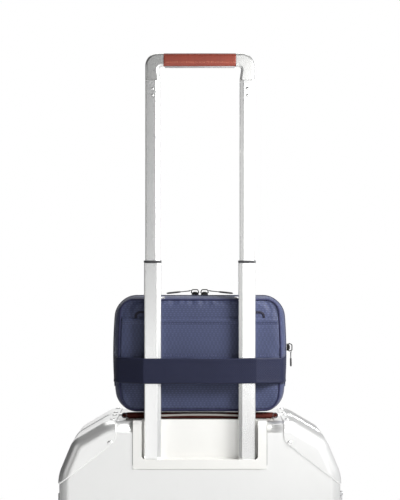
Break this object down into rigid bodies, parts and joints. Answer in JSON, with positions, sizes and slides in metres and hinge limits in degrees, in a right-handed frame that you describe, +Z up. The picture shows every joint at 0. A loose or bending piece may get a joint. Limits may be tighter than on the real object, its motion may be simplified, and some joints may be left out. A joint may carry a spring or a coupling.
{
  "type": "rolling laptop case",
  "caption": "Hard-shell rolling case with a telescopic pull handle, leather grab handle and swivel casters, and a small zipped soft case belted to the handle.",
  "frame": {"origin": "on the floor, under the middle of the whole object's bounding box", "axes": "+Z up, -Y towards the pull handle and the soft case's strap, +X to the right as seen from the handle side, towards the latches"},
  "size_m": [0.4058, 0.235, 1.057],
  "materials": {
    "shell": "fine silver-white satin",
    "frame": "satin anodised",
    "guard": "satin cast",
    "tube": "satin anodised",
    "steel": "satin",
    "gunmetal": "dark satin",
    "black_plastic": "matt",
    "rubber": "matt",
    "leather": "grained",
    "navy_fabric": "woven grid",
    "navy_webbing": "twill webbing",
    "lining": "felted"
  },
  "bodies": {
    "rear_case": {"rear_shell": "shell", "rear_frame": "frame", "frame_seal": "rubber", "tube_cover_board": "lining", "rear_corner_guard_left": "guard", "rear_corner_guard_right": "guard", "rear_wheel_housing_left": "black_plastic", "rear_wheel_housing_right": "black_plastic", "handle_well": "guard", "guide_tube_left": "steel", "guide_tube_right": "steel", "hinge_rear_leaf": "steel", "hinge_pin": "steel", "latch_base_upper": "steel", "latch_base_lower": "steel", "grab_handle_plate": "frame"},
    "front_case": {"front_shell": "shell", "front_frame": "frame", "front_corner_guard_left": "guard", "front_corner_guard_right": "guard", "front_wheel_housing_left": "black_plastic", "front_wheel_housing_right": "black_plastic", "hinge_front_leaf": "steel", "latch_keeper_upper": "steel", "latch_keeper_lower": "steel"},
    "latch_lever_upper": {"latch_lever_upper": "steel"},
    "latch_lever_lower": {"latch_lever_lower": "steel"},
    "grab_handle": {"grab_handle": "leather"},
    "lower_stage": {"lower_tube_left": "tube", "lower_tube_right": "tube", "collar_left": "black_plastic", "collar_right": "black_plastic", "lock_block_left": "black_plastic", "lock_block_right": "black_plastic"},
    "upper_stage": {"upper_tube_left": "tube", "upper_tube_right": "tube", "grip_corner_left": "guard", "grip_corner_right": "guard", "grip_core": "black_plastic", "grip_leather": "leather"},
    "release_bar": {"release_bar": "gunmetal"},
    "push_rods": {"push_rod_left": "steel", "push_rod_right": "steel"},
    "soft_case": {"soft_case_body": "navy_fabric", "back_pocket": "navy_fabric", "trolley_strap": "navy_webbing"},
    "zip_slider_left": {"zip_slider_left": "gunmetal"},
    "zip_slider_right": {"zip_slider_right": "gunmetal"},
    "side_zip_slider": {"side_zip_slider": "gunmetal"},
    "zip_pull_left": {"zip_pull_left": "gunmetal"},
    "zip_pull_right": {"zip_pull_right": "gunmetal"},
    "side_zip_pull": {"side_zip_pull": "gunmetal"},
    "swivel_rear_left": {"caster_fork_rear_left": "black_plastic"},
    "wheels_rear_left": {"caster_wheels_rear_left": "rubber"},
    "swivel_rear_right": {"caster_fork_rear_right": "black_plastic"},
    "wheels_rear_right": {"caster_wheels_rear_right": "rubber"},
    "swivel_front_left": {"caster_fork_front_left": "black_plastic"},
    "wheels_front_left": {"caster_wheels_front_left": "rubber"},
    "swivel_front_right": {"caster_fork_front_right": "black_plastic"},
    "wheels_front_right": {"caster_wheels_front_right": "rubber"}
  },
  "joints": [
    {"name": "lid_hinge", "type": "hinge", "parent": "rear_case", "child": "front_case", "pos_m": [-0.1999, 0, 0.3], "axis": [0, 0, 1], "range_deg": [0, 100]},
    {"name": "upper_latch_pivot", "type": "hinge", "parent": "rear_case", "child": "latch_lever_upper", "pos_m": [0.2007, -0.02, 0.415], "axis": [0, 0, -1], "range_deg": [0, 95]},
    {"name": "lower_latch_pivot", "type": "hinge", "parent": "rear_case", "child": "latch_lever_lower", "pos_m": [0.2007, -0.02, 0.185], "axis": [0, 0, -1], "range_deg": [0, 95]},
    {"name": "grab_handle_slide", "type": "slide", "parent": "rear_case", "child": "grab_handle", "axis": [0, 0, 1], "range_m": [0, 0.018]},
    {"name": "lower_stage_slide", "type": "slide", "parent": "rear_case", "child": "lower_stage", "axis": [0, 0, 1], "range_m": [-0.268, 0]},
    {"name": "upper_stage_slide", "type": "slide", "parent": "lower_stage", "child": "upper_stage", "axis": [0, 0, 1], "range_m": [-0.248, 0]},
    {"name": "release_bar_slide", "type": "slide", "parent": "upper_stage", "child": "release_bar", "axis": [0, 0, 1], "range_m": [0, 0.003], "stiffness_N_per_m": 800, "springref_m": -0.01},
    {"name": "push_rod_slide", "type": "slide", "parent": "upper_stage", "child": "push_rods", "axis": [0, 0, 1], "range_m": [-0.003, 0]},
    {"name": "soft_case_slide", "type": "slide", "parent": "grab_handle", "child": "soft_case", "axis": [0, 0, 1], "range_m": [0, 0.3]},
    {"name": "left_zip_slide", "type": "slide", "parent": "soft_case", "child": "zip_slider_left", "axis": [-1, 0, 0], "range_m": [0, 0.06]},
    {"name": "right_zip_slide", "type": "slide", "parent": "soft_case", "child": "zip_slider_right", "axis": [1, 0, 0], "range_m": [0, 0.06]},
    {"name": "side_zip_slide", "type": "slide", "parent": "soft_case", "child": "side_zip_slider", "axis": [0, 0, 1], "range_m": [-0.03, 0.02]},
    {"name": "left_zip_pull_hinge", "type": "hinge", "parent": "zip_slider_left", "child": "zip_pull_left", "pos_m": [-0.0114, -0.0635, 0.7287], "axis": [0, 1, 0], "range_deg": [0, 80]},
    {"name": "right_zip_pull_hinge", "type": "hinge", "parent": "zip_slider_right", "child": "zip_pull_right", "pos_m": [0.0108, -0.0635, 0.7287], "axis": [0, -1, 0], "range_deg": [0, 80]},
    {"name": "side_zip_pull_hinge", "type": "hinge", "parent": "side_zip_slider", "child": "side_zip_pull", "pos_m": [0.1269, -0.0635, 0.6454], "axis": [0, -1, 0], "range_deg": [0, 80]},
    {"name": "rear_left_swivel", "type": "hinge", "parent": "rear_case", "child": "swivel_rear_left", "pos_m": [-0.1383, -0.07, 0.042], "axis": [0, 0, 1], "continuous": true},
    {"name": "rear_left_roll", "type": "hinge", "parent": "swivel_rear_left", "child": "wheels_rear_left", "pos_m": [-0.13093, -0.06484, 0.02], "axis": [-0.5736, 0.8192, 0], "continuous": true},
    {"name": "rear_right_swivel", "type": "hinge", "parent": "rear_case", "child": "swivel_rear_right", "pos_m": [0.1377, -0.07, 0.042], "axis": [0, 0, 1], "continuous": true},
    {"name": "rear_right_roll", "type": "hinge", "parent": "swivel_rear_right", "child": "wheels_rear_right", "pos_m": [0.14349, -0.07689, 0.02], "axis": [0.766, 0.6428, 0], "continuous": true},
    {"name": "front_left_swivel", "type": "hinge", "parent": "front_case", "child": "swivel_front_left", "pos_m": [-0.1383, 0.07, 0.042], "axis": [0, 0, 1], "continuous": true},
    {"name": "front_left_roll", "type": "hinge", "parent": "swivel_front_left", "child": "wheels_front_left", "pos_m": [-0.1428, 0.07779, 0.02], "axis": [-0.866, -0.5, 0], "continuous": true},
    {"name": "front_right_swivel", "type": "hinge", "parent": "front_case", "child": "swivel_front_right", "pos_m": [0.1377, 0.07, 0.042], "axis": [0, 0, 1], "continuous": true},
    {"name": "front_right_roll", "type": "hinge", "parent": "swivel_front_right", "child": "wheels_front_right", "pos_m": [0.13081, 0.06421, 0.02], "axis": [0.6428, -0.766, 0], "continuous": true}
  ],
  "couplings": [
    {"joint": "push_rod_slide", "follows": "release_bar_slide", "ratio": -1}
  ]
}
